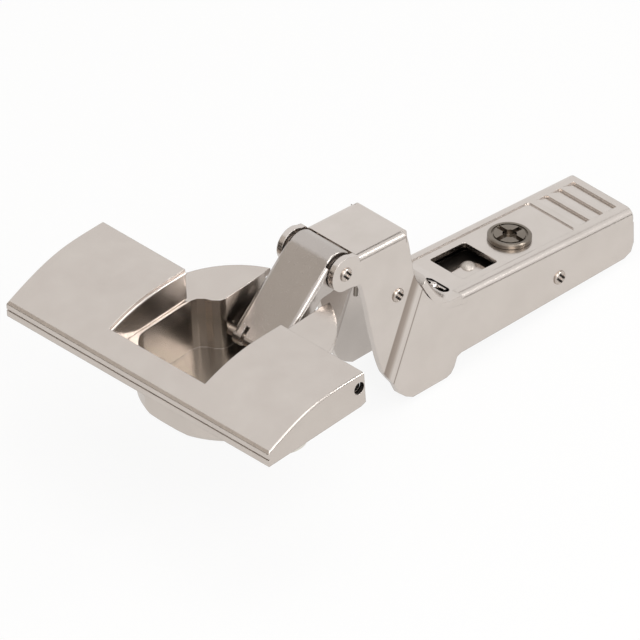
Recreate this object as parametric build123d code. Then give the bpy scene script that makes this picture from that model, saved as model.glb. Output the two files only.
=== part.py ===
from build123d import *
import math
import os

# Lengths in mm. The cup frame has its origin on the cup axis at the flange top, +Z out of
# the door, +X from the cup towards the arm and Y along the flange. The files are written in
# the same frame raised by the flange, so that Z is 0 on the door's face.
# Pieces of the arm are drawn level in X and Z, then tipped by the angle of the open hinge.
OPEN_TILT = 4.0
SHEET = 1.2

FLANGE_R = 18.8
BOSS_R = 17.4
BOSS_DEPTH = 11.7
FLANGE_T = 1.2
FLOOR_WALL = 0.8
POCKET_FLOOR = FLOOR_WALL - BOSS_DEPTH
POCKET_FRONT = -15.0
POCKET_HALF = 12.0
CHANNEL_HALF = 7.4
FACET_X = -16.4

FLAP_HALF = 32.8
FLAP_FRONT = -23.3
FLAP_REAR = 1.0
FLAP_WALL = 1.1
FLAP_PIVOT = (-0.4, 4.2)
FLAP_PIN_R = 1.2
LUG_X = -9.5
LUG_Y = 22.5
LUG_R = 4.0
LUG_REACH = 6.6

FRONT_PIVOT = (21.8, 4.7)
REAR_PIVOT = (34.8, -6.25)
CUP_PIVOT_OUTER = (6.78, -7.4)
CUP_PIVOT_INNER = (14.8, -4.6)
FRONT_PIN_R = 1.3
REAR_PIN_R = 1.3
OUTER_CUP_PIN_R = 1.0
INNER_CUP_PIN_R = 0.9
LEVER_ROOF_R = 3.65
RUNNING = 0.05

KNUCKLE_HALF = 7.0
LEVER_HALF = KNUCKLE_HALF - SHEET - 0.25
ARM_HALF = 8.2
KNUCKLE_TOP = (25.35, 6.76, 37.0, 6.1)
ARM_TOP = (49.6, -13.1, 92.6, -16.1)
ARM_BOTTOM = -25.4
CREASE = ((39.2, -5.7), (31.8, -23.1))
SIDE_PIVOT = (74.0, -21.4)
SIDE_PIN_R = 1.3
WINDOW = (53.8, 62.7, 4.2)
SCREW_X = 69.7
SCREW_HEAD_R = 4.0
RIB_X = (84.4, 87.8, 91.1)
RIB_HALF = 5.4
RIB_RUN = 2.6
RIB_STEP = 0.4
PAD_END = 80.4
PAD_HALF = 5.9
PAD_SINK = 0.25
CAM_X = 59.6
RELEASE_PIVOT = (80.4, -23.2)


def tipped(shape):
    return Rot(0, OPEN_TILT, 0) * shape


def to_arm(point):
    a = math.radians(OPEN_TILT)
    x, z = point
    return (x * math.cos(a) - z * math.sin(a), x * math.sin(a) + z * math.cos(a))


def slab(face, y0, y1):
    return Pos(0, y1, 0) * extrude(Plane.XZ * face, amount=y1 - y0)


def plate(points, y0, y1):
    return slab(make_face(Polyline(*points, close=True)), y0, y1)


def cross_pin(point, radius, y0, y1):
    return slab(Pos(point[0], point[1]) * Circle(radius), y0, y1)


def both_sides(shape):
    return shape + mirror(shape, about=Plane.XZ)


def staked_pin(point, radius, half):
    # A riveted pin whose ends stand just proud of the plates, each with a punched notch.
    pin = cross_pin(point, radius, -half - 0.4, half + 0.4)
    pin = chamfer(pin.edges(), 0.2)
    mark = Pos(point[0] + 0.15, half + 0.4, point[1] - 0.1) * Rot(0, -35, 0) * Box(1.7, 0.5, 0.5)
    return pin - both_sides(mark)


def make_cup():
    ring = Circle(FLANGE_R)
    wings = Rectangle(21.0, 62.0)
    flange = Pos(0, 0, -FLANGE_T) * extrude(ring + Pos(-11.2, 0) * wings, amount=FLANGE_T)
    rim = 0.9
    outline = Polyline((0, 0), (BOSS_R, 0), (BOSS_R, rim - BOSS_DEPTH), (BOSS_R - 0.35 * rim, 0.25 * rim - BOSS_DEPTH),
                       (BOSS_R - rim, -BOSS_DEPTH), (0, -BOSS_DEPTH), close=True)
    boss = revolve(Plane.XZ * make_face(outline), Axis.Z)
    boss -= Pos(FACET_X - 5, 0, -BOSS_DEPTH) * Box(10, 60, 2 * BOSS_DEPTH)
    cup = flange + boss
    pocket = make_face(Polyline(*pocket_outline(0.5), close=True))
    cup -= Pos(0, 0, POCKET_FLOOR) * extrude(pocket, amount=12)
    # The rear channel stops at the wall below the bend of the inner lever.
    cup -= Pos(18.4, 0, 0) * Box(5.0, 2 * CHANNEL_HALF, 2 * 3.4)
    cup -= Pos(15.7, 0, -0.6) * Box(2.4, 2 * 4.3, 13.8)
    # A pocket under the front lip takes the rounded ears of the folded arm.
    undercut = -2.5 - POCKET_FLOOR - FLOOR_WALL
    cup -= Pos(-14.2, 0, -2.5 - undercut / 2) * Box(2.8, 2 * 7.4, undercut)
    cup -= Pos(-13.6, 0, 0) * Box(2.8, 2 * 7.4, 2 * 3.0)
    cup += both_sides(make_cup_ear(13.6) + make_cup_ear(29.9))
    pin = cross_pin(CUP_PIVOT_OUTER, OUTER_CUP_PIN_R, -11.6, 11.6)
    # The shallow recess under the flange lets the door face meet the flange around the lug.
    lug_hole = Pos(LUG_X, LUG_Y, 0) * Cylinder(LUG_R - 0.5, 4 * FLANGE_T)
    lug_hole += Pos(LUG_X, LUG_Y, -FLANGE_T) * Cylinder(LUG_R + 0.4, 0.6)
    return cup - pin - both_sides(lug_hole)


def pocket_outline(inset):
    h = POCKET_HALF - inset
    c = CHANNEL_HALF - 0.35 * inset
    f = POCKET_FRONT + 0.5 * inset
    side = [(f, h - 4.2), (f + 0.4, h - 2.9), (f + 1.5, h - 1.5), (f + 2.9, h - 0.4), (f + 4.2, h), (1.8 - inset, h), (3.0 - inset, h - 0.4),
            (3.9 - inset, h - 1.5), (4.4 - inset, c + 1.5), (5.3 - inset, c + 0.4), (6.4 - inset, c)]
    rear = 17.4 - inset if inset else 20.0
    far = side + [(rear, c)]
    return far + [(x, -y) for x, y in reversed(far)]


def make_cup_ear(y0):
    x, z = FLAP_PIVOT
    ear = slab(Pos(x, z) * Circle(FLAP_PIN_R + 0.35), y0, y0 + 1.2)
    ear += plate([(x - 1.55, z), (x + 1.55, z), (x + 1.55, -0.5), (x - 3.2, -0.5), (x - 3.2, 0.6)], y0, y0 + 1.2)
    return ear - cross_pin(FLAP_PIVOT, FLAP_PIN_R, y0 - 1, y0 + 3)


def make_flap():
    solid = slab(flap_profile(0.0), -FLAP_HALF, FLAP_HALF)
    hollow = slab(flap_profile(FLAP_WALL), POCKET_HALF + FLAP_WALL, FLAP_HALF - FLAP_WALL)
    notch = plate([(-14.6, -1.0), (-18.2, 4.6), (-18.2, 12), (9, 12), (9, -1.0)], -POCKET_HALF, POCKET_HALF)
    under = plate([(-22.0, -1.0), (-22.0, 2.0), (-17.8, 3.4), (-16.0, -1.0)], -POCKET_HALF, POCKET_HALF)
    lip = plate([(FLAP_FRONT - 1, 1.35), (FLAP_FRONT - 1, 1.65), (FLAP_FRONT + 0.25, 1.65),
                 (FLAP_FRONT + 0.25, 1.35)], -FLAP_HALF - 1, FLAP_HALF + 1)
    hole = cross_pin(FLAP_PIVOT, FLAP_PIN_R + RUNNING, POCKET_HALF + 0.4, FLAP_HALF + 1)
    flap = solid - notch - under - both_sides(hollow) - lip - both_sides(hole)
    near = flap.faces().sort_by(Axis.Y)[0].edges().sort_by(Axis.Z)[-1]
    far = flap.faces().sort_by(Axis.Y)[-1].edges().sort_by(Axis.Z)[-1]
    return fillet([near, far], 0.4)


def flap_profile(inset):
    # The curved cover in side view. An inset leaves the sheet wall and opens the foot and the rear.
    i = inset
    foot = -2.0 if inset else 0.02
    rear = FLAP_REAR + 4 if inset else FLAP_REAR
    front = FLAP_FRONT + i
    crown = Spline((front + 0.5, 3.2 - i), (-18.75, 4.75 - i), (-14.2, 6.15 - i), (-9.0, 7.05 - i),
                   (-4.0, 7.15 - i), (rear, 6.95 - i))
    # The heel behind the pivot is cut back so that it clears the flange as the flap lifts.
    heel = [(rear, foot), (FLAP_PIVOT[0], foot)] if inset else [(rear, 0.4), (FLAP_PIVOT[0] + 0.2, 0.06)]
    sides = Polyline((rear, 6.95 - i), *heel, (front, foot), (front, 2.7 - i), (front + 0.5, 3.2 - i))
    return make_face(crown + sides)


def make_flap_pin():
    pin = cross_pin(FLAP_PIVOT, FLAP_PIN_R, POCKET_HALF + 0.45, FLAP_HALF - 0.9)
    return chamfer(pin.edges(), 0.25)


def make_lug():
    # A split dowel: a tapered bore lets the spreader open it in the door's hole.
    body = Pos(0, 0, -FLANGE_T) * extrude(Circle(LUG_R), amount=-LUG_REACH)
    body = chamfer(body.edges().group_by(Axis.Z)[0], 0.6)
    for level in (4.2, 5.2):
        groove = Pos(0, 0, -FLANGE_T - level) * (Cylinder(LUG_R + 1, 0.35) - Cylinder(LUG_R - 0.35, 0.35))
        body -= groove
    body += extrude(Circle(LUG_R - 0.6), amount=-FLANGE_T)
    body += extrude(Circle(LUG_R + 0.7), amount=0.9)
    body -= Cylinder(1.75, 4 * LUG_REACH)
    body -= Pos(0, 0, -FLANGE_T - LUG_REACH + 1.4) * Box(3 * LUG_R, 0.9, 4.6)
    return Pos(LUG_X, 0, 0) * body


def make_spreader():
    outline = Polyline((0, 3.0), (2.6, 3.0), (2.6, 1.2), (1.65, 1.2), (1.65, -5.6), (0.9, -7.2), (0, -7.2), close=True)
    pin = revolve(Plane.XZ * make_face(outline), Axis.Z)
    pin -= Pos(0, 0, 2.0) * Box(1.2, 8.0, 0.9)
    return Pos(LUG_X, 0, 0) * pin


def rolled_ring(centre, r_in, r_out, a0, a1):
    pts = []
    n = 20
    for k in range(n + 1):
        a = math.radians(a0 + (a1 - a0) * k / n)
        pts.append((centre[0] + r_out * math.cos(a), centre[1] + r_out * math.sin(a)))
    for k in range(n, -1, -1):
        a = math.radians(a0 + (a1 - a0) * k / n)
        pts.append((centre[0] + r_in * math.cos(a), centre[1] + r_in * math.sin(a)))
    return make_face(Polyline(*pts, close=True))


def make_outer_lever():
    # Front plate and rolled roof in one sheet, with side flanges that carry the two pins.
    top = FRONT_PIVOT
    low = to_arm(CUP_PIVOT_OUTER)
    r_top = LEVER_ROOF_R
    r_low = OUTER_CUP_PIN_R + RUNNING + 0.75
    length = math.dist(top, low)
    lean = math.atan2(top[1] - low[1], top[0] - low[0]) + math.asin((r_top - r_low) / length)
    nx, nz = -math.sin(lean), math.cos(lean)
    ux, uz = math.cos(lean), math.sin(lean)
    t_top = (top[0] + r_top * nx, top[1] + r_top * nz)
    t_low = (low[0] + r_low * nx, low[1] + r_low * nz)
    tangent = math.degrees(lean) + 90
    front = Plane(origin=(t_low[0], 0, t_low[1]), x_dir=(0, 1, 0), z_dir=(ux, 0, uz))
    reach = math.dist(t_top, t_low)
    outer = Pos(0, 1.5) * Rectangle(2 * LEVER_HALF, 3.0)
    inner = Pos(0, 1.5 + SHEET) * Rectangle(2 * LEVER_HALF - 2 * 1.05, 3.0)
    if front.y_dir.dot(Vector(nx, 0, nz)) > 0:
        outer = mirror(outer, about=Plane.XZ)
        inner = mirror(inner, about=Plane.XZ)
    bends = outer.vertices().sort_by(lambda v: abs(v.Y))[:2]
    body = extrude(front * (fillet(bends, 1.1) - inner), amount=reach - 0.8)
    roof = slab(rolled_ring(top, r_top - SHEET, r_top, 37, tangent), -LEVER_HALF + 0.7, LEVER_HALF - 0.7)
    body += fillet(roof.edges().filter_by(lambda e: abs(abs(e.center().Y) - LEVER_HALF + 0.7) < 0.01
                                          and math.dist((e.center().X, e.center().Z), top) > r_top - 0.1), 0.4)
    strip = (t_top[0] - SHEET * nx - 3.2 * ux, t_top[1] - SHEET * nz - 3.2 * uz)
    body += plate([t_top, (t_top[0] - 3.4 * ux, t_top[1] - 3.4 * uz), strip, (strip[0] + 3.2 * ux, strip[1] + 3.2 * uz)],
                  -LEVER_HALF + 0.7, LEVER_HALF - 0.7)
    roll = rolled_ring(low, OUTER_CUP_PIN_R + RUNNING, r_low, tangent, tangent + 320)
    body += slab(roll, -LEVER_HALF + 0.3, LEVER_HALF - 0.3)
    # The middle of the roll is open below, where the inner lever passes as the door shuts.
    body -= Pos(low[0] + 0.6, 0, low[1] - 0.15 - 1.5) * Box(5.6, 7.6, 3.0)
    flange = plate([(t_top[0] - 0.9 * nx - 1.8 * ux, t_top[1] - 0.9 * nz - 1.8 * uz), (low[0] - 0.4, low[1] + 1.6),
                    (low[0] + 2.4, low[1] + 1.0), (15.4, 1.6), (16.3, 1.0), (19.6, 1.25), (22.0, 2.3), (23.2, 4.0),
                    (22.4, 5.8)], LEVER_HALF - 1.05, LEVER_HALF)
    flange += cross_pin(top, 2.0, LEVER_HALF - 1.05, LEVER_HALF)
    body += both_sides(flange)
    body -= cross_pin(top, FRONT_PIN_R + RUNNING, -9, 9)
    body -= cross_pin(low, OUTER_CUP_PIN_R + RUNNING, -9, 9)
    slot = plate([(t_low[0] - 3, t_low[1] - 1.5), (t_low[0] - 3, t_low[1] + 1.2), (t_low[0] + 4, t_low[1] + 1.2),
                  (t_low[0] + 4, t_low[1] - 1.5)], 2.6, 3.4)
    return tipped(body - both_sides(slot))


def lever_band(half_t):
    low = to_arm(CUP_PIVOT_INNER)
    line = Spline(low, (16.37, -0.70), (17.8, 0.75), (20.3, 0.9), (22.4, 0.92), (25.8, -0.4), (30.2, -3.2), REAR_PIVOT)
    near = []
    far = []
    for k in range(25):
        p = line @ (k / 24)
        t = line % (k / 24)
        near.append((p.X - t.Y * half_t, p.Y + t.X * half_t))
        far.append((p.X + t.Y * half_t, p.Y - t.X * half_t))
    return make_face(Spline(*near) + Line(near[-1], far[-1]) + Spline(*reversed(far)) + Line(far[0], near[0]))


def make_inner_lever():
    low = to_arm(CUP_PIVOT_INNER)
    lever = slab(lever_band(0.42), -3.5, 3.5)
    lever += cross_pin(low, INNER_CUP_PIN_R + 0.75, -3.5, 3.5)
    lever += cross_pin(REAR_PIVOT, REAR_PIN_R + SHEET, -3.5, 3.5)
    lever -= cross_pin(low, INNER_CUP_PIN_R, -9, 9)
    lever -= cross_pin(REAR_PIVOT, REAR_PIN_R + RUNNING, -9, 9)
    return tipped(lever)


def make_closing_spring():
    r = REAR_PIN_R + 0.9
    wire = 0.42
    coil = Helix(pitch=0.95, height=1.25, radius=r)
    coil = Pos(REAR_PIVOT[0], 5.3, REAR_PIVOT[1]) * (Rot(90, 0, 0) * coil)
    start = coil @ 0
    end = coil @ 1
    body = sweep(Plane(origin=start, z_dir=coil % 0) * Circle(wire), coil)
    leg_a = Line(start, start - (coil % 0) * 7.5)
    leg_b = Line(end, end + (coil % 1) * 6.0)
    body += sweep(Plane(origin=start, z_dir=leg_a % 0) * Circle(wire), leg_a)
    body += sweep(Plane(origin=end, z_dir=leg_b % 0) * Circle(wire), leg_b)
    return tipped(body)


def cheek_outline():
    x1, z1 = FRONT_PIVOT
    kx0, kz0, kx1, kz1 = KNUCKLE_TOP
    ax0, az0, ax1, az1 = ARM_TOP
    drop = 2.0
    edge = Polyline((kx0 - 0.1, kz0 - 0.2), (kx0, kz0 - drop), (kx1, kz1 - drop), (kx1, kz1 - 0.6),
                    (kx1 + 0.5, kz1 - 2.4), (39.0, -5.0))
    sweep_down = Spline((39.0, -5.0), (40.3, -7.8), (42.1, -10.3), (44.7, -12.3), (47.4, -12.95))
    top = Polyline((47.4, -12.95), (ax0, az0), (ax0 + 0.2, az0 - drop), (ax1 - 0.9, az1 - drop + 0.05), (ax1, az1 - drop - 0.6),
                   (ax1, ARM_BOTTOM + 2.4), (ax1 - 0.7, ARM_BOTTOM + 0.7), (ax1 - 2.4, ARM_BOTTOM),
                   (49.4, ARM_BOTTOM), (48.4, -25.8), (47.7, -27.6), (46.9, -28.6), (45.8, -29.0),
                   (37.4, -29.0), (35.6, -28.0), (33.8, -26.4), (32.8, -24.2))
    front = Spline((32.8, -24.2), (30.8, -20.3), (29.6, -16.4), (28.5, -12.0), (27.8, -8.9), (26.6, -3.2), (25.5, 0.6))
    ear = Polyline((25.5, 0.6), (x1 + 1.4, z1 - 3.5), (x1, z1 - 3.3), (x1 - 2.0, z1 - 1.0), (x1 - 2.0, z1 + 1.6),
                   (x1, z1 + 3.3), (kx0 - 0.8, kz0 + 0.7), (kx0 - 0.1, kz0 - 0.2))
    face = make_face(edge + sweep_down + top + front + ear)
    return face + Pos(x1, z1) * Circle(3.4)


def joggled_plate():
    # One cheek as a flat sheet set out by its own thickness along the crease.
    (x0, z0), (x1, z1) = CREASE
    run = math.dist(*CREASE)
    along = ((x1 - x0) / run, (z1 - z0) / run)
    origin = Vector(0.5 * (x0 + x1), 0, 0.5 * (z0 + z1))
    across = Vector(-along[1], 0, along[0])
    inner = KNUCKLE_HALF - SHEET
    outer = ARM_HALF - SHEET
    band = Polyline((-40, inner), (-1.1, inner), (1.1, outer), (80, outer), (80, ARM_HALF), (0.8, ARM_HALF),
                    (-1.4, KNUCKLE_HALF), (-40, KNUCKLE_HALF), close=True)
    base = Plane(origin=origin, x_dir=across, z_dir=across.cross(Vector(0, 1, 0)))
    return extrude(base * make_face(band), amount=60, both=True)


def bent_top(line, half, leg):
    # The folded top of the channel with rounded bends and two short legs.
    x0, z0, x1, z1 = line
    base = Plane(origin=(x0, 0, z0), x_dir=(0, 1, 0), z_dir=(x1 - x0, 0, z1 - z0))
    outer = Pos(0, -leg / 2) * Rectangle(2 * half, leg)
    outer = fillet(outer.vertices().group_by(Axis.Y)[-1], 1.7)
    inner = Pos(0, -leg / 2 - SHEET) * Rectangle(2 * half - 2 * SHEET, leg)
    inner = fillet(inner.vertices().group_by(Axis.Y)[-1], 0.6)
    return extrude(base * (outer - inner), amount=math.dist((x0, z0), (x1, z1)))


def top_z(x):
    x0, z0, x1, z1 = ARM_TOP
    return z0 + (z1 - z0) * (x - x0) / (x1 - x0)


def on_top(x, y=0.0):
    x0, z0, x1, z1 = ARM_TOP
    return Pos(x, y, top_z(x)) * Rot(0, math.degrees(math.atan2(z0 - z1, x1 - x0)), 0)


def make_arm():
    cheek = joggled_plate() & slab(cheek_outline(), 3, 12)
    arm = both_sides(cheek)
    arm += bent_top(KNUCKLE_TOP, KNUCKLE_HALF, 2.6)
    arm += bent_top(ARM_TOP, ARM_HALF, 2.6)
    arm += both_sides(make_window_frame())
    arm += make_rear_lip() + make_front_lip()
    x0, x1, half = WINDOW
    hole = Rectangle(x1 - x0, 2 * half)
    hole = fillet(hole.vertices(), 0.6)
    arm -= on_top(0.5 * (x0 + x1)) * extrude(hole, amount=3, both=True)
    arm -= on_top(SCREW_X) * Cylinder(2.3, 6)
    # The area around the window is pressed down, and each grip rib is a ramp that ends in a step.
    x0, x1 = ARM_TOP[0] - 1, PAD_END
    pad = fillet(Rectangle(x1 - x0, 2 * PAD_HALF).vertices().group_by(Axis.X)[-1], 0.8)
    arm -= on_top(0.5 * (x0 + x1)) * Pos(0, 0, -PAD_SINK) * extrude(pad, amount=1)
    for x in RIB_X:
        ramp = plate([(-RIB_RUN, 0), (0, -RIB_STEP), (0, 0.5), (-RIB_RUN, 0.5)], -RIB_HALF, RIB_HALF)
        arm -= on_top(x) * ramp
    arm -= cross_pin(FRONT_PIVOT, FRONT_PIN_R, -12, 12)
    arm -= cross_pin(REAR_PIVOT, REAR_PIN_R, -12, 12)
    arm -= cross_pin(SIDE_PIVOT, SIDE_PIN_R, -12, 12)
    return tipped(arm)


def make_rear_lip():
    # The plate over the front end turns down behind, between the cheeks.
    x, z = KNUCKLE_TOP[2:]
    lip = plate([(x - 0.2, z), (x + SHEET - 0.2, z), (x + SHEET, z - 2.6), (x, z - 2.6)],
                -KNUCKLE_HALF + SHEET - 0.1, KNUCKLE_HALF - SHEET + 0.1)
    return fillet(lip.edges().filter_by(Axis.Y).group_by(Axis.Z)[-1].sort_by(Axis.X)[-1], 0.9)


def make_front_lip():
    # The rear plate turns down in front and leaves a gap at each cheek for its bend.
    x, z = ARM_TOP[:2]
    lip = plate([(x - 0.8, z - 2.2), (x - 0.8, z), (x + 0.6, z), (x + 0.4, z - 2.2)], -4.6, 4.6)
    return fillet(lip.edges().filter_by(Axis.Y).group_by(Axis.Z)[-1].sort_by(Axis.X)[0], 0.6)


def make_window_frame():
    return on_top(66.0, 6.6) * (Pos(0, 0, -0.7) * Box(4.0, 1.0, 1.0))


def make_side_screw():
    head = extrude(Circle(SCREW_HEAD_R), amount=0.9)
    head = chamfer(head.edges().group_by(Axis.Z)[-1], 0.25)
    head -= Pos(0, 0, 0.9) * (Cylinder(3.3, 0.7) - Cylinder(2.9, 0.7))
    cross = Box(6.2, 1.0, 2.6) + Box(1.0, 6.2, 2.6) + Cylinder(1.3, 2.6)
    shank = extrude(Circle(2.0), amount=-5.5)
    shank += Pos(0, 0, -4.95) * Cylinder(3.0, 0.6)
    screw = Pos(0, 0, 0.06 - PAD_SINK) * (head + shank) - Pos(0, 0, 0.9) * cross
    return tipped(on_top(SCREW_X) * screw)


def make_inner_channel():
    x0, x1 = 50.4, 86.5
    line = (x0, top_z(x0) - 3.1, x1, top_z(x1) - 3.1)
    half = ARM_HALF - SHEET - 0.35
    body = bent_top(line, half, 3.0)
    legs = plate([(x0, line[1] - 2.2), (x1, line[3] - 2.2), (x1, -23.4), (x1 - 1.5, -24.6), (x0 + 3, -24.6),
                  (x0, -22.0)], half - SHEET, half)
    body += both_sides(legs)
    # Open at the rear so that the release lever can swing up between the legs.
    body -= plate([(79.0, -21.9), (x1 + 2, -21.9), (x1 + 2, -15.0), (79.0, -15.0)], -half + SHEET, half - SHEET)
    body -= on_top(SCREW_X) * Cylinder(2.5, 12)
    body -= on_top(CAM_X) * Cylinder(1.95, 12)
    body -= cross_pin(SIDE_PIVOT, SIDE_PIN_R + RUNNING, -12, 12)
    return tipped(body)


def make_cover_tab():
    tab = Pos(0, -2.1, -2.62) * Box(7.6, 4.2, 0.8)
    tab -= Pos(0.4, 0, -2.7) * Cylinder(2.3, 4)
    return tipped(on_top(CAM_X - 0.4) * tab)


def make_depth_cam():
    shaft = Pos(0, 0, -5.2) * extrude(Circle(1.9), amount=2.6)
    dome = Pos(0, 0, -3.1) * Sphere(1.9)
    dome &= Pos(0, 0, -0.9) * Box(6, 6, 4)
    disc = Pos(0, 0, -6.0) * extrude(Circle(3.6), amount=1.4)
    crank = Pos(0, 1.4, -8.4) * extrude(Circle(0.8), amount=3)
    return tipped(on_top(CAM_X) * (shaft + dome + disc + crank))


def make_carriage():
    # The sliding block in the channel, with a cross slot for the cam and a front hook.
    top = -20.6
    side = [(53.0, -23.9), (53.0, -22.6), (54.6, top), (70.0, top), (70.4, -23.6), (78.0, -23.6), (78.0, -21.9),
            (83.0, -21.9), (83.0, -24.8), (56.6, -24.8), (56.6, -25.3), (53.9, -25.3)]
    body = plate(side, -5.2, 5.2)
    body -= Pos(CAM_X - 0.5, 0.5, top) * Box(2.9, 5.6, 5.6)
    body -= Pos(80.9, 0, -22) * Box(6.6, 5.2, 9)
    body -= cross_pin(RELEASE_PIVOT, 0.8, -9, 9)
    return tipped(body)


def make_release_pin():
    return tipped(cross_pin(RELEASE_PIVOT, 0.8, -5.2, 5.2))


def make_release_lever():
    side = [(78.6, -22.4), (79.2, -21.6), (81.6, -21.6), (84.6, -20.4), (89.2, -20.6), (91.6, -22.2), (91.8, -23.0),
            (91.2, -23.4), (89.0, -22.0), (85.0, -21.7), (82.4, -23.2), (81.6, -24.6), (79.4, -24.8), (78.6, -24.0)]
    body = plate(side, -2.4, 2.4)
    pad = plate([(87.2, -20.45), (89.2, -20.6), (91.6, -22.2), (91.8, -23.0), (91.2, -23.4), (89.0, -22.0),
                 (87.2, -21.8)], -5.1, 5.1)
    body += pad
    body -= cross_pin(RELEASE_PIVOT, 0.8 + RUNNING, -9, 9)
    return tipped(body)


PARTS = {
    "hinge_cup": lambda: make_cup(),
    "cup_axle": lambda: cross_pin(CUP_PIVOT_OUTER, OUTER_CUP_PIN_R, -11.5, 11.5),
    "locking_flap": lambda: make_flap(),
    "flap_pin_left": lambda: make_flap_pin(),
    "flap_pin_right": lambda: mirror(make_flap_pin(), about=Plane.XZ),
    "clamp_lug_left": lambda: Pos(0, LUG_Y, 0) * make_lug(),
    "clamp_lug_right": lambda: Pos(0, -LUG_Y, 0) * make_lug(),
    "spreader_left": lambda: Pos(0, LUG_Y, 0) * make_spreader(),
    "spreader_right": lambda: Pos(0, -LUG_Y, 0) * make_spreader(),
    "outer_lever": make_outer_lever,
    "inner_lever": make_inner_lever,
    "inner_lever_pin": lambda: tipped(cross_pin(to_arm(CUP_PIVOT_INNER), INNER_CUP_PIN_R, -4.2, 4.2)),
    "closing_spring": make_closing_spring,
    "hinge_arm": make_arm,
    "arm_pin_front": lambda: tipped(staked_pin(FRONT_PIVOT, FRONT_PIN_R, KNUCKLE_HALF)),
    "arm_pin_rear": lambda: tipped(staked_pin(REAR_PIVOT, REAR_PIN_R, KNUCKLE_HALF)),
    "arm_pin_side": lambda: tipped(staked_pin(SIDE_PIVOT, SIDE_PIN_R, ARM_HALF)),
    "side_screw": make_side_screw,
    "inner_channel": make_inner_channel,
    "cover_tab": make_cover_tab,
    "depth_cam": make_depth_cam,
    "carriage": make_carriage,
    "release_pin": make_release_pin,
    "release_lever": make_release_lever,
}

os.makedirs("parts", exist_ok=True)
for name, make in PARTS.items():
    export_step(Pos(0, 0, FLANGE_T) * make(), f"parts/{name}.step")
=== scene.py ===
import math
import bpy
from mathutils import Matrix, Vector


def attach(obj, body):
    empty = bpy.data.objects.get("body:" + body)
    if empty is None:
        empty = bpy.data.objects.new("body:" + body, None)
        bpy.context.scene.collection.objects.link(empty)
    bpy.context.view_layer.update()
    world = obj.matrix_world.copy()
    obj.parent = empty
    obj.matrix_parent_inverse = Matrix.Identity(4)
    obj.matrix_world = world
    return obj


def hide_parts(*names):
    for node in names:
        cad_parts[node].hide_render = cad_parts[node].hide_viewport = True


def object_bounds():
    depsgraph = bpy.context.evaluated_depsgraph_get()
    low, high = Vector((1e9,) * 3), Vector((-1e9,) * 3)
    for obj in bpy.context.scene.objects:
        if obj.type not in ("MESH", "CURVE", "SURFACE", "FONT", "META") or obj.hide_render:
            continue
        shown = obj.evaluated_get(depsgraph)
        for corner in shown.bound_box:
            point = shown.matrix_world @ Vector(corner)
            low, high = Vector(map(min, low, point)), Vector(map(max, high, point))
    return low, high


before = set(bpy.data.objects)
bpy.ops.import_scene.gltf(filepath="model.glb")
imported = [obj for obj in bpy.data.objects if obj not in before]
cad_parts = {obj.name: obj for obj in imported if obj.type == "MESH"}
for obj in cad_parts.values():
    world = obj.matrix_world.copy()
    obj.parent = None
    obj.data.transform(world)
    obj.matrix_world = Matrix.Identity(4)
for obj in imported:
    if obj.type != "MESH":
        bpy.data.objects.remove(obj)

cadBox = [list(c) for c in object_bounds()]
print("frame loaded")

# Pieces of the arm are drawn level and then tipped, because the open arm hangs below the cup's plane.
openTilt = math.radians(4.0)
faceHeight = 0.0012  # the cup flange's upper face
armTurn = Matrix.Rotation(openTilt, 3, "Y")
armPlace = Matrix.Translation((0, 0, faceHeight)) @ armTurn.to_4x4()


def toLinear(hexColour):
    parts = [int(hexColour[i:i + 2], 16) / 255 for i in (1, 3, 5)]
    return [p / 12.92 if p <= 0.04045 else ((p + 0.055) / 1.055) ** 2.4 for p in parts] + [1.0]


def addNode(tree, kind, settings=None, links=None):
    node = tree.nodes.new(kind)
    for key, value in (settings or {}).items():
        if isinstance(key, int) or key in node.inputs:
            node.inputs[key].default_value = value
        else:
            setattr(node, key, value)
    for key, source in (links or {}).items():
        tree.links.new(source, node.inputs[key])
    return node


# The view is isometric on the tipped arm, without perspective.
cameraView = {"pixelsPerMm": 5.65, "originPixel": (231.0, 330.5), "frame": 640, "back": 0.4}

right = armTurn @ Vector((1, -1, 0)).normalized()
upward = armTurn @ Vector((1, 1, 2)).normalized()
behind = armTurn @ Vector((-1, -1, 1)).normalized()
half = cameraView["frame"] / 2
perMetre = cameraView["pixelsPerMm"] * 1000
aim = Vector((0, 0, faceHeight))
aim = aim + right * ((half - cameraView["originPixel"][0]) / perMetre)
aim = aim + upward * ((cameraView["originPixel"][1] - half) / perMetre)
cameraData = bpy.data.cameras.new("viewCamera")
cameraData.type = "ORTHO"
cameraData.ortho_scale = cameraView["frame"] / perMetre
camera = bpy.data.objects.new("viewCamera", cameraData)
turn = Matrix((right, upward, behind)).transposed().to_4x4()
camera.matrix_world = Matrix.Translation(aim + behind * cameraView["back"]) @ turn
bpy.context.scene.collection.objects.link(camera)
bpy.context.scene.camera = camera
print("camera set")

studio = {"target": (0.03, 0, 0), "ambient": "#E4E2DF", "ambientStrength": 0.8,
          "floorDrop": 0.0006, "floorSize": 1.6, "floorX": 0.04, "floorColour": "#F4F3F1",
          "mirrorWhite": 0.65, "cameraWhite": 0.25}  # the camera sees both whites added
bpy.context.scene.view_settings.view_transform = "Standard"


def whiteRays(tree):
    # The camera, reflections and glass see the white background, and the rest see the room.
    rays = addNode(tree, "ShaderNodeLightPath")
    mirror = addNode(tree, "ShaderNodeMath", {"operation": "MAXIMUM"},
                     {0: rays.outputs["Is Camera Ray"], 1: rays.outputs["Is Glossy Ray"]})
    seen = addNode(tree, "ShaderNodeMath", {"operation": "MAXIMUM"},
                   {0: mirror.outputs[0], 1: rays.outputs["Is Transmission Ray"]})
    return rays, seen


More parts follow.
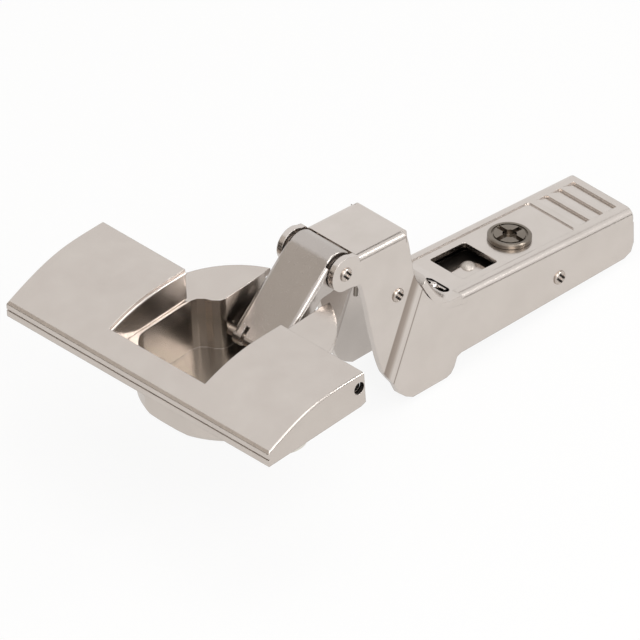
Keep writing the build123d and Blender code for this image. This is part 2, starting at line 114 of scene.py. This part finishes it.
world = bpy.data.worlds.new("studioWorld")
bpy.context.scene.world = world
world.use_nodes = True
tree = world.node_tree
tree.nodes.clear()
rays, seen = whiteRays(tree)
around = addNode(tree, "ShaderNodeBackground",
                 {"Color": toLinear(studio["ambient"]), "Strength": studio["ambientStrength"]})
plain = addNode(tree, "ShaderNodeBackground", {"Color": (1, 1, 1, 1), "Strength": 1.0})
which = addNode(tree, "ShaderNodeMixShader",
                links={0: seen.outputs[0], 1: around.outputs[0], 2: plain.outputs[0]})
addNode(tree, "ShaderNodeOutputWorld", links={"Surface": which.outputs[0]})

bpy.ops.object.select_all(action="DESELECT")
floorHeight = cadBox[0][2] - studio["floorDrop"]
bpy.ops.mesh.primitive_plane_add(size=studio["floorSize"], location=(studio["floorX"], 0, floorHeight))
bpy.ops.object.transform_apply(location=True, rotation=True, scale=True)
floor = bpy.context.active_object
floor.name = "studioFloor"
floorMaterial = bpy.data.materials.new("matt white backdrop")
floorMaterial.use_nodes = True
tree = floorMaterial.node_tree
tree.nodes.clear()
rays, seen = whiteRays(tree)
paint = addNode(tree, "ShaderNodeBsdfDiffuse", {"Color": toLinear(studio["floorColour"])})
glow = addNode(tree, "ShaderNodeEmission", {"Color": (1, 1, 1, 1), "Strength": 1.0})
reflected = addNode(tree, "ShaderNodeMath", {"operation": "MULTIPLY", 1: studio["mirrorWhite"]},
                    {0: seen.outputs[0]})
share = addNode(tree, "ShaderNodeMath", {"operation": "MULTIPLY_ADD", 1: studio["cameraWhite"]},
                {0: rays.outputs["Is Camera Ray"], 2: reflected.outputs[0]})
mixed = addNode(tree, "ShaderNodeMixShader",
                links={0: share.outputs[0], 1: paint.outputs[0], 2: glow.outputs[0]})
addNode(tree, "ShaderNodeOutputMaterial", links={"Surface": mixed.outputs[0]})
floor.data.materials.append(floorMaterial)

lamps = {
    "keyLamp": {"place": (-0.14, -0.42, 0.40), "size": 0.30, "power": 1.3},
    "fillLamp": {"place": (0.10, -0.05, 0.55), "size": 0.30, "power": 0.7},
    "stripLamp": {"place": (0.30, -0.30, 0.28), "size": 0.08, "power": 0.35},  # brightens the long bends
}
for name, lamp in lamps.items():
    data = bpy.data.lights.new(name, "AREA")
    data.size = lamp["size"]
    data.energy = lamp["power"]
    holder = bpy.data.objects.new(name, data)
    holder.location = lamp["place"]
    toward = Vector(studio["target"]) - Vector(lamp["place"])
    holder.rotation_euler = toward.to_track_quat("-Z", "Y").to_euler()
    bpy.context.scene.collection.objects.link(holder)

# Boards beside the product are mirrored in the plate and shade its sloped faces and its bends.
boards = {
    "leftBoard": {"colour": "#E4DFDA", "place": (-0.26, 0.21, 0.22), "width": 0.38, "height": 0.26},
    "lowLeftBoard": {"colour": "#4A423B", "place": (-0.30, 0.22, 0.03), "width": 0.40, "height": 0.16},
    "topBoard": {"colour": "#5A524B", "place": (0.26, 0.02, 0.42), "width": 0.10, "height": 0.36},
    "rightBoard": {"colour": "#6A625A", "place": (0.26, -0.45, 0.02), "width": 0.40, "height": 0.06},
}
for name, board in boards.items():
    bpy.ops.object.select_all(action="DESELECT")
    bpy.ops.mesh.primitive_plane_add(size=1.0)
    sheet = bpy.context.active_object
    sheet.name = name
    sheet.scale = (board["width"], board["height"], 1)
    toward = Vector(studio["target"]) - Vector(board["place"])
    sheet.rotation_euler = toward.to_track_quat("Z", "Y").to_euler()
    sheet.location = board["place"]
    bpy.ops.object.transform_apply(location=True, rotation=True, scale=True)
    boardMaterial = bpy.data.materials.new("board " + name)
    boardMaterial.use_nodes = True
    tree = boardMaterial.node_tree
    tree.nodes.clear()
    cloth = addNode(tree, "ShaderNodeBsdfDiffuse", {"Color": toLinear(board["colour"])})
    addNode(tree, "ShaderNodeOutputMaterial", links={"Surface": cloth.outputs[0]})
    sheet.data.materials.append(boardMaterial)
print("studio built")

# Nickel plate over steel or zinc is a warm white metal. "high" and "low" are its cloudy shades, "rough" its
# least and most roughness, and "edge" the radius in metres that tumbling leaves on an edge.
plateDetail = {"cloudScale": 180.0, "grainScale": 3300.0, "grainBump": 0.06, "bumpDistance": 0.0001}
finishes = {
    # zinc die casting, tumbled and plated: a broad soft sheen
    "satin nickel casting": {"high": "#CEC6BF", "low": "#C3BAB3", "rough": (0.20, 0.28), "edge": 0.00022},
    # pressed steel sheet, plated: cleaner and a little brighter than the casting
    "satin nickel sheet": {"high": "#D3CBC5", "low": "#C8C0B9", "rough": (0.17, 0.25), "edge": 0.00020},
    # the levers' sheet, dulled by forming: greyer reflections
    "satin nickel lever": {"high": "#BDB6B1", "low": "#B3ACA6", "rough": (0.22, 0.30), "edge": 0.00020},
    # turned and plated steel: small blurred highlights
    "plated rivet": {"high": "#C9BFB7", "low": "#B0A69D", "rough": (0.25, 0.35), "edge": 0.00012},
    # pressed steel, tumbled matt: a wide dull highlight on the dome
    "tumbled cam head": {"high": "#BDB6AE", "low": "#ADA59D", "rough": (0.40, 0.50), "edge": 0.00012},
    # darker plated screw steel: brown grey with soft bright edges
    "plated screw": {"high": "#8A8177", "low": "#6E665D", "rough": (0.24, 0.34), "edge": 0.00014},
    # drawn spring wire: mid grey and slightly dull
    "spring wire": {"high": "#9C958D", "low": "#7E7770", "rough": (0.3, 0.4), "edge": 0.00005},
    # painted shade for the parts inside the arm: dark grey
    "dark painted inner shade": {"high": "#5E5852", "low": "#453F3A", "rough": (0.35, 0.5), "edge": 0.00012},
    # black painted shade for the flap's pins and for the inside of the slot: hardly reflects
    "black painted hole shade": {"high": "#1C1A18", "low": "#121110", "rough": (0.5, 0.6), "edge": 0.00008},
}
# Painted shade in the cup's hollow: its colour darkens from the rim down to the floor of the hollow.
finishes["satin nickel casting"]["hollow"] = {"radius": 0.0169, "front": -0.0155, "rim": 0.0010,
                                              "depth": 0.004, "colour": "#A39B93"}
# Painted shade along the step in each cheek of the arm: a darker band and a thin dark line, with the plain
# colour between them showing as a bright line.
finishes["satin nickel arm"] = dict(finishes["satin nickel sheet"], creaseShade={
    "start": (0.0392, -0.0057), "end": (0.0318, -0.0231), "reach": 0.002, "outside": 0.0068,
    "shadeTones": [(0, "#FFFFFF"), (0.17, "#FFFFFF"), (0.22, "#B9B2AC"), (0.40, "#CBC5C0"), (0.55, "#FFFFFF"),
              (0.68, "#FFFFFF"), (0.74, "#A8A19B"), (0.80, "#FFFFFF"), (1.0, "#FFFFFF")]})
# Painted shade of the two short cuts that the staking punch leaves across the end of each pin of the arm.
stakeCutShade = {"turn": math.radians(-38), "apart": 0.00042, "wide": 0.00016, "long": 0.0008,
         "sideFade": 0.00012, "endFade": 0.00025, "colour": "#2B2622"}
pinPlaces = {"arm_pin_front": (0.0218, 0.0047), "arm_pin_rear": (0.0348, -0.00625),
             "arm_pin_side": (0.0740, -0.0214)}
for pinName, pinPlace in pinPlaces.items():
    finishes["staked end " + pinName] = dict(finishes["plated rivet"], cutShade=dict(stakeCutShade, at=pinPlace))


def onArm(point):
    return armPlace @ Vector((point[0], 0, point[1]))


def hollowTone(tree, place, hollow, colour):
    spot = addNode(tree, "ShaderNodeSeparateXYZ", links={"Vector": place.outputs["Object"]})
    span = addNode(tree, "ShaderNodeCombineXYZ", links={"X": spot.outputs["X"], "Y": spot.outputs["Y"]})
    reach = addNode(tree, "ShaderNodeVectorMath", {"operation": "LENGTH"}, {0: span.outputs[0]})
    within = addNode(tree, "ShaderNodeMath", {"operation": "LESS_THAN", 1: hollow["radius"]},
                     {0: reach.outputs["Value"]})
    back = addNode(tree, "ShaderNodeMath", {"operation": "GREATER_THAN", 1: hollow["front"]},
                   {0: spot.outputs["X"]})
    inside = addNode(tree, "ShaderNodeMath", {"operation": "MULTIPLY"},
                     {0: within.outputs[0], 1: back.outputs[0]})
    below = addNode(tree, "ShaderNodeMapRange",
                    {"From Min": hollow["rim"], "From Max": hollow["rim"] - hollow["depth"]},
                    {"Value": spot.outputs["Z"]})
    share = addNode(tree, "ShaderNodeMath", {"operation": "MULTIPLY"},
                    {0: inside.outputs[0], 1: below.outputs["Result"]})
    # painted shade, mixed in deeper in the cup's hollow
    hollowShaded = addNode(tree, "ShaderNodeMix", {"data_type": "RGBA", 7: toLinear(hollow["colour"])},
                   {"Factor": share.outputs[0], 6: colour})
    return hollowShaded.outputs[2]


def creaseShadeTone(tree, place, creaseShade, colour):
    start, end = onArm(creaseShade["start"]), onArm(creaseShade["end"])
    along = (end - start).normalized()
    across = Vector((-along.z, 0, along.x))
    shifted = addNode(tree, "ShaderNodeVectorMath", {"operation": "SUBTRACT", 1: start},
                      {0: place.outputs["Object"]})
    offset = addNode(tree, "ShaderNodeVectorMath", {"operation": "DOT_PRODUCT", 1: across},
                     {0: shifted.outputs["Vector"]})
    share = addNode(tree, "ShaderNodeMapRange", {"From Min": -creaseShade["reach"], "From Max": creaseShade["reach"]},
                    {"Value": offset.outputs["Value"]})
    shadeTones = addNode(tree, "ShaderNodeValToRGB", links={"Fac": share.outputs["Result"]})
    ramp = shadeTones.color_ramp
    for position, tone in creaseShade["shadeTones"]:
        stop = ramp.elements[0] if position == 0 else ramp.elements.new(position)
        stop.position = position
        stop.color = toLinear(tone)
    ramp.elements.remove(ramp.elements[-1])  # the stop that a new ramp ends with
    spot = addNode(tree, "ShaderNodeSeparateXYZ", links={"Vector": place.outputs["Object"]})
    side = addNode(tree, "ShaderNodeMath", {"operation": "ABSOLUTE"}, {0: spot.outputs["Y"]})
    outside = addNode(tree, "ShaderNodeMath", {"operation": "GREATER_THAN", 1: creaseShade["outside"]},
                      {0: side.outputs[0]})
    # painted shade of the step, multiplied into the cheeks
    creaseShaded = addNode(tree, "ShaderNodeMix", {"data_type": "RGBA", "blend_type": "MULTIPLY"},
                    {"Factor": outside.outputs[0], 6: colour, 7: shadeTones.outputs["Color"]})
    return creaseShaded.outputs[2]


def stakeCutShadeTone(tree, place, cutShade, colour):
    turned = addNode(tree, "ShaderNodeMapping",
                     {"vector_type": "TEXTURE", "Location": onArm(cutShade["at"]),
                      "Rotation": (0, cutShade["turn"], 0)},
                     {"Vector": place.outputs["Object"]})
    local = addNode(tree, "ShaderNodeSeparateXYZ", links={"Vector": turned.outputs["Vector"]})
    folded = addNode(tree, "ShaderNodeMath", {"operation": "ABSOLUTE"}, {0: local.outputs["X"]})
    offCentre = addNode(tree, "ShaderNodeMath", {"operation": "SUBTRACT", 1: cutShade["apart"]},
                        {0: folded.outputs[0]})
    near = addNode(tree, "ShaderNodeMath", {"operation": "ABSOLUTE"}, {0: offCentre.outputs[0]})
    cut = addNode(tree, "ShaderNodeMapRange",
                  {"From Min": cutShade["wide"] + cutShade["sideFade"], "From Max": cutShade["wide"]},
                  {"Value": near.outputs[0]})
    along = addNode(tree, "ShaderNodeMath", {"operation": "ABSOLUTE"}, {0: local.outputs["Z"]})
    ends = addNode(tree, "ShaderNodeMapRange",
                   {"From Min": cutShade["long"] + cutShade["endFade"], "From Max": cutShade["long"]},
                   {"Value": along.outputs[0]})
    both = addNode(tree, "ShaderNodeMath", {"operation": "MULTIPLY"},
                   {0: cut.outputs["Result"], 1: ends.outputs["Result"]})
    # painted shade of the staked cuts
    cutShaded = addNode(tree, "ShaderNodeMix", {"data_type": "RGBA", 7: toLinear(cutShade["colour"])},
                     {"Factor": both.outputs[0], 6: colour})
    return cutShaded.outputs[2]


# Each of these paints shade into a finish's colour.
paintedShadeTones = {"hollow": hollowTone, "creaseShade": creaseShadeTone, "cutShade": stakeCutShadeTone}


def platedMetal(name, finish):
    material = bpy.data.materials.new(name)
    material.use_nodes = True
    tree = material.node_tree
    tree.nodes.clear()
    place = addNode(tree, "ShaderNodeTexCoord")
    # Slow cloudiness of the plating bath, a few millimetres across.
    cloud = addNode(tree, "ShaderNodeTexNoise",
                    {"Scale": plateDetail["cloudScale"], "Detail": 2.0, "Roughness": 0.5},
                    {"Vector": place.outputs["Object"]})
    tint = addNode(tree, "ShaderNodeMix",
                   {"data_type": "RGBA", 6: toLinear(finish["low"]), 7: toLinear(finish["high"])},
                   {"Factor": cloud.outputs["Fac"]})
    # Tumbled grain, drawn at 0.3 mm because the real 0.05 mm would not show.
    grain = addNode(tree, "ShaderNodeTexNoise",
                    {"Scale": plateDetail["grainScale"], "Detail": 3.0, "Roughness": 0.6},
                    {"Vector": place.outputs["Object"]})
    rough = addNode(tree, "ShaderNodeMapRange", {"To Min": finish["rough"][0], "To Max": finish["rough"][1]},
                    {"Value": grain.outputs["Fac"]})
    edge = addNode(tree, "ShaderNodeBevel", {"samples": 6, "Radius": finish["edge"]})
    bump = addNode(tree, "ShaderNodeBump",
                   {"Strength": plateDetail["grainBump"], "Distance": plateDetail["bumpDistance"]},
                   {"Height": grain.outputs["Fac"], "Normal": edge.outputs["Normal"]})
    colour = tint.outputs[2]
    # painted shade is added to the colour where a finish asks for it
    for shadeDetail, addPaintedShade in paintedShadeTones.items():
        if shadeDetail in finish:
            colour = addPaintedShade(tree, place, finish[shadeDetail], colour)
    shader = addNode(tree, "ShaderNodeBsdfPrincipled", {"Metallic": 1.0},
                     {"Base Color": colour, "Roughness": rough.outputs["Result"],
                      "Normal": bump.outputs["Normal"]})
    addNode(tree, "ShaderNodeOutputMaterial", links={"Surface": shader.outputs["BSDF"]})
    return material


materials = {name: platedMetal(name, finish) for name, finish in finishes.items()}

# Injection moulded nylon: off white, with the fine matt skin of the mould. Its grain is drawn at 0.4 mm,
# because the real one would not show.
nylon = {"colour": "#D9D6CE", "rough": (0.42, 0.55), "grainScale": 2500.0, "grainBump": 0.1}


def mouldedNylon(name):
    material = bpy.data.materials.new(name)
    material.use_nodes = True
    tree = material.node_tree
    shader = tree.nodes["Principled BSDF"]
    place = addNode(tree, "ShaderNodeTexCoord")
    grain = addNode(tree, "ShaderNodeTexNoise", {"Scale": nylon["grainScale"], "Detail": 2.0},
                    {"Vector": place.outputs["Object"]})
    rough = addNode(tree, "ShaderNodeMapRange", {"To Min": nylon["rough"][0], "To Max": nylon["rough"][1]},
                    {"Value": grain.outputs["Fac"]})
    bump = addNode(tree, "ShaderNodeBump",
                   {"Strength": nylon["grainBump"], "Distance": plateDetail["bumpDistance"]},
                   {"Height": grain.outputs["Fac"]})
    tree.links.new(rough.outputs["Result"], shader.inputs["Roughness"])
    tree.links.new(bump.outputs["Normal"], shader.inputs["Normal"])
    shader.inputs["Base Color"].default_value = toLinear(nylon["colour"])
    return material


materials["moulded nylon"] = mouldedNylon("moulded nylon")

nodeFinish = {
    "hinge_cup": "satin nickel casting", "locking_flap": "satin nickel casting",
    "hinge_arm": "satin nickel arm", "outer_lever": "satin nickel lever", "inner_lever": "satin nickel lever",
    "cover_tab": "satin nickel sheet", "release_lever": "satin nickel sheet",
    # the parts inside the arm take dark painted shade
    "inner_channel": "dark painted inner shade", "carriage": "dark painted inner shade",
    "cup_axle": "plated rivet", "inner_lever_pin": "plated rivet", "release_pin": "plated rivet",
    "spreader_left": "plated rivet", "spreader_right": "plated rivet",
    # the flap's pins in their holes take the black painted shade
    "flap_pin_left": "black painted hole shade", "flap_pin_right": "black painted hole shade",
    "arm_pin_front": "staked end arm_pin_front", "arm_pin_rear": "staked end arm_pin_rear",
    "arm_pin_side": "staked end arm_pin_side",
    "side_screw": "plated screw", "depth_cam": "tumbled cam head", "closing_spring": "spring wire",
    "clamp_lug_left": "moulded nylon", "clamp_lug_right": "moulded nylon",
}
for nodeName, finishName in nodeFinish.items():
    node = bpy.data.objects[nodeName]
    node.data.materials.clear()
    node.data.materials.append(materials[finishName])
print("plated finishes applied")

touching = 0.00005  # places nearer than this are the same
nearby = 0.0002  # less than the spacing of any two corners that are picked apart
smoothAngle = math.radians(35)


def deselectAll():
    if bpy.context.mode != "OBJECT":
        bpy.ops.object.mode_set(mode="OBJECT")
    bpy.ops.object.select_all(action="DESELECT")


def pickParts(piece, kind, test):
    # Selects in edit mode the vertices, edges or faces of the active piece whose middle passes the test.
    bpy.ops.object.mode_set(mode="EDIT")
    bpy.ops.mesh.select_mode(type=kind)
    bpy.ops.mesh.select_all(action="DESELECT")
    bpy.ops.object.mode_set(mode="OBJECT")
    mesh = piece.data
    parts = {"VERT": mesh.vertices, "EDGE": mesh.edges, "FACE": mesh.polygons}[kind]
    for part in parts:
        if kind == "VERT":
            middle = part.co
        elif kind == "EDGE":
            middle = (mesh.vertices[part.vertices[0]].co + mesh.vertices[part.vertices[1]].co) / 2
        else:
            middle = part.center
        part.select = bool(test(middle, part))
    bpy.ops.object.mode_set(mode="EDIT")


def addPlate(low, high, height):
    deselectAll()
    bpy.ops.mesh.primitive_plane_add(size=1)
    piece = bpy.context.active_object
    piece.scale = (high[0] - low[0], high[1] - low[1], 1)
    piece.location = ((low[0] + high[0]) / 2, (low[1] + high[1]) / 2, height)
    bpy.ops.object.transform_apply(location=True, rotation=True, scale=True)
    return piece


def extrudeBy(x, z):
    bpy.ops.mesh.extrude_region_move(TRANSFORM_OT_translate={"value": (x, 0, z)})


def extrudeAlong(path):
    for before, after in zip(path, path[1:]):
        extrudeBy(after[0] - before[0], after[1] - before[1])


def faceOutwards():
    bpy.ops.mesh.select_all(action="SELECT")
    bpy.ops.mesh.normals_make_consistent(inside=False)
    bpy.ops.object.mode_set(mode="OBJECT")


def applyModifier(piece, kind, settings):
    modifier = piece.modifiers.new(kind.lower(), kind)
    for key, value in settings.items():
        setattr(modifier, key, value)
    bpy.ops.object.modifier_apply(modifier=modifier.name)


def finishPiece(piece, name, body, finish, place=None):
    deselectAll()
    piece.select_set(True)
    bpy.context.view_layer.objects.active = piece
    if place is not None:
        piece.matrix_world = place
        bpy.ops.object.transform_apply(location=True, rotation=True, scale=True)
    bpy.ops.object.shade_smooth_by_angle(angle=smoothAngle)
    piece.name = name
    piece.data.materials.clear()
    piece.data.materials.append(materials[finish])
    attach(piece, body)
    deselectAll()


# The arm's top plate runs up the knuckle in a concave bend, with a rounded bead on both edges and a slot.
frontBend = {"path": [(0.0512, -0.01350), (0.0500, -0.01322), (0.0488, -0.01295), (0.0476, -0.01268),
                      (0.0466, -0.01228), (0.0456, -0.01160), (0.0447, -0.01065), (0.0436, -0.00915),
                      (0.0424, -0.00720), (0.0414, -0.0053)],
             "half": 0.00822, "thick": 0.0019, "bead": 0.0015, "beadSteps": 6,
             "slotX": 0.0484, "slotFrom": -0.0058, "slotTo": 0.0, "slotHalf": 0.0011,
             "slotFloor": -0.0143, "slotSides": 32, "cutterHeight": 0.005,
             "wallLean": 0.3}  # a face of the slot whose normal points up less than this is a wall
bendPath = frontBend["path"]
bend = addPlate((bendPath[1][0], -frontBend["half"]), (bendPath[0][0], frontBend["half"]), bendPath[0][1])
pickParts(bend, "VERT", lambda middle, part: middle.x < bendPath[1][0] + nearby)
bpy.ops.transform.translate(value=(0, 0, bendPath[1][1] - bendPath[0][1]))
extrudeAlong(bendPath[1:])
faceOutwards()
if bend.data.polygons[0].normal.z < 0:
    bpy.ops.object.mode_set(mode="EDIT")
    bpy.ops.mesh.flip_normals()
    bpy.ops.object.mode_set(mode="OBJECT")
applyModifier(bend, "SOLIDIFY", {"thickness": frontBend["thick"], "offset": -1.0})


def onBendRim(middle, part):
    ends = [bend.data.vertices[v].co for v in part.vertices]
    if any(abs(abs(end.y) - frontBend["half"]) > touching for end in ends):
        return False
    if abs(ends[0].x - ends[1].x) < nearby:
        return False
    return all(min(math.dist((end.x, end.z), point) for point in bendPath) < nearby for end in ends)


pickParts(bend, "EDGE", onBendRim)
bpy.ops.mesh.bevel(offset=frontBend["bead"], segments=frontBend["beadSteps"], affect="EDGES")
deselectAll()
slotEndY = frontBend["slotFrom"] + frontBend["slotHalf"]
cutterZ = frontBend["slotFloor"] + frontBend["cutterHeight"] / 2
bpy.ops.mesh.primitive_cylinder_add(vertices=frontBend["slotSides"], radius=frontBend["slotHalf"],
                                    depth=frontBend["cutterHeight"],
                                    location=(frontBend["slotX"], slotEndY, cutterZ))
cutter = bpy.context.active_object
bpy.ops.object.transform_apply(location=True, rotation=True, scale=True)
pickParts(cutter, "VERT", lambda middle, part: middle.y > slotEndY + touching)
slotRun = frontBend["slotTo"] - frontBend["slotFrom"] - 2 * frontBend["slotHalf"]
bpy.ops.transform.translate(value=(0, slotRun, 0))
deselectAll()
bpy.context.view_layer.objects.active = bend
bend.select_set(True)
applyModifier(bend, "BOOLEAN", {"object": cutter, "operation": "DIFFERENCE", "solver": "EXACT"})
bpy.data.objects.remove(cutter)
finishPiece(bend, "armFrontBend", "arm", "satin nickel sheet", armPlace)

# The slot's floor and walls are painted black as the shade inside it.
bend.data.materials.append(materials["black painted hole shade"])
levelPlace = armPlace.inverted()
armUp = armPlace.to_3x3() @ Vector((0, 0, 1))
for face in bend.data.polygons:
    level = levelPlace @ face.center
    overSlot = (abs(level.x - frontBend["slotX"]) < frontBend["slotHalf"] + touching
                and frontBend["slotFrom"] - touching < level.y < frontBend["slotTo"] + touching)
    isFloor = abs(level.z - frontBend["slotFloor"]) < touching
    isWall = level.z > frontBend["slotFloor"] and face.normal.dot(armUp) < frontBend["wallLean"]
    if overSlot and (isFloor or isWall):
        face.material_index = 1
print("front bend modelled")

# A small ball stands on a stem in the slot of the front bend.
springBall = {"place": (0.0484, -0.0023, -0.01350), "radius": 0.00085, "sides": 24, "rings": 16,
              "stem": 0.0006, "neck": 0.6}  # the neck is a share of the radius
bpy.ops.mesh.primitive_uv_sphere_add(segments=springBall["sides"], ring_count=springBall["rings"],
                                     radius=springBall["radius"], location=springBall["place"])
ball = bpy.context.active_object
bpy.ops.object.transform_apply(location=True, rotation=True, scale=True)
stemTop = springBall["place"][2] - springBall["neck"] * springBall["radius"]
pickParts(ball, "FACE", lambda middle, part: middle.z < stemTop)
extrudeBy(0, -springBall["stem"])
finishPiece(ball, "springBall", "arm", "satin nickel sheet", armPlace)
print("spring ball modelled")

# A light tongue lies under the window, and the domed head of the depth cam comes up through it.
windowTongue = {"low": (0.0530, -0.0052), "high": (0.0612, 0.00075), "top": -0.01564, "thick": 0.0008,
                "corner": 0.0018, "cornerSteps": 6, "edge": 0.00012, "edgeSteps": 2}
tongueEnd = windowTongue["high"]
tongue = addPlate(windowTongue["low"], tongueEnd, windowTongue["top"])
pickParts(tongue, "VERT",
          lambda middle, part: middle.x > tongueEnd[0] - nearby and middle.y > tongueEnd[1] - nearby)
bpy.ops.mesh.bevel(offset=windowTongue["corner"], segments=windowTongue["cornerSteps"], affect="VERTICES")
bpy.ops.mesh.select_all(action="SELECT")
extrudeBy(0, -windowTongue["thick"])
faceOutwards()
applyModifier(tongue, "BEVEL", {"width": windowTongue["edge"], "segments": windowTongue["edgeSteps"],
                                "limit_method": "ANGLE"})
finishPiece(tongue, "windowTongue", "channel", "satin nickel sheet", armPlace)
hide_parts("cover_tab")
print("window tongue modelled")

# The notch in the flap has a rolled rim on both sides, just under the edge of the crown.
notchRim = {"path": [(-0.0180, 0.00500), (-0.0160, 0.00565), (-0.0142, 0.00615), (-0.0116, 0.00670),
                     (-0.0090, 0.00705), (-0.0064, 0.00716), (-0.0040, 0.00715), (0.0008, 0.00697)],
            "side": 0.01185, "radius": 0.00036, "rimSides": 12, "drop": 0.00075}
rimX, rimZ = notchRim["path"][0]
rimHeight = rimZ + faceHeight - notchRim["drop"]
for rimName, side in (("notchRimNear", -notchRim["side"]), ("notchRimFar", notchRim["side"])):
    bpy.ops.mesh.primitive_circle_add(vertices=notchRim["rimSides"], radius=notchRim["radius"],
                                      fill_type="NGON",
                                      rotation=(0, math.radians(90), 0), location=(rimX, side, rimHeight))
    rim = bpy.context.active_object
    bpy.ops.object.transform_apply(location=True, rotation=True, scale=True)
    pickParts(rim, "FACE", lambda middle, part: True)
    extrudeAlong(notchRim["path"])
    faceOutwards()
    finishPiece(rim, rimName, "flap", "satin nickel sheet")
print("notch rims modelled")
